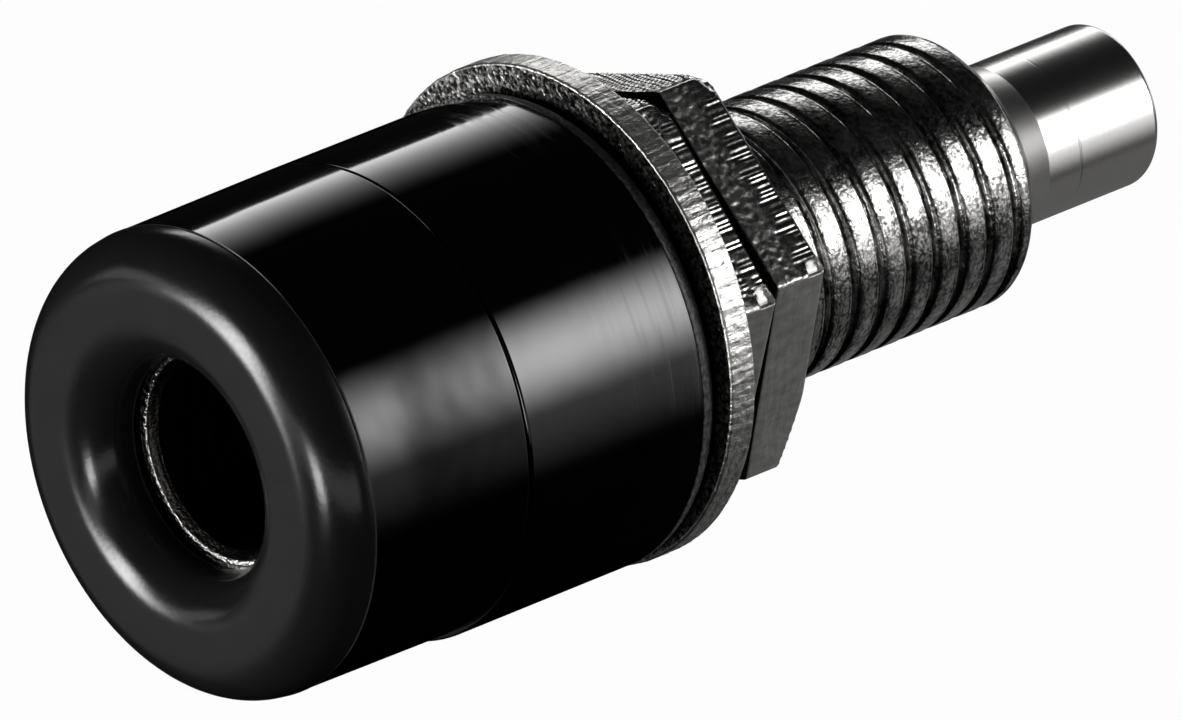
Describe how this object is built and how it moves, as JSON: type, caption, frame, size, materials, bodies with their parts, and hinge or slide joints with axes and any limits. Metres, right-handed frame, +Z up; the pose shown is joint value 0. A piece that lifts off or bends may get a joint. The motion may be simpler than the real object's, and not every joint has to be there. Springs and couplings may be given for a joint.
{
  "type": "panel mount banana socket",
  "caption": "Insulated round panel socket for a 4 mm banana plug, with a fine-thread shank, washer, thin hexagon nuts and a solder tail.",
  "frame": {"origin": "centre of the panel's front face, where the two insulators meet, on the socket's axis", "axes": "+Y along the axis from the plug mouth to the solder tail, +Z up, +X to the right seen from the plug side"},
  "size_m": [0.0107, 0.0257, 0.0106],
  "materials": {
    "black_plastic": "glossy black moulding with a slightly duller nose",
    "plated_washer": "nickel-plated brass, blanked, with a bright rim",
    "plated_nuts": "nickel-plated brass, milled flats with coarse tool marks",
    "plated_contact": "nickel-plated brass, turned and threaded"
  },
  "bodies": {
    "socket": {"contact_body": "plated_contact", "front_insulator": "black_plastic"},
    "clamp_stack": {"rear_insulator": "black_plastic", "washer": "plated_washer"},
    "panel_nut": {"panel_nut": "plated_nuts"},
    "lock_nut": {"lock_nut": "plated_nuts"}
  },
  "joints": [
    {"name": "clamp_slide", "type": "slide", "parent": "socket", "child": "clamp_stack", "axis": [0, 1, 0], "range_m": [0, 0.00675]},
    {"name": "panel_nut_turn", "type": "hinge", "parent": "clamp_stack", "child": "panel_nut", "pos_m": [0, 0.00655, 0], "axis": [0, 1, 0], "range_deg": [0, 3240]},
    {"name": "lock_nut_turn", "type": "hinge", "parent": "clamp_stack", "child": "lock_nut", "pos_m": [0, 0.00795, 0], "axis": [0, 1, 0], "range_deg": [0, 3240]}
  ],
  "couplings": [
    {"joint": "panel_nut_turn", "follows": "clamp_slide", "rad_per_m": 8377.6},
    {"joint": "lock_nut_turn", "follows": "clamp_slide", "rad_per_m": 8377.6}
  ]
}
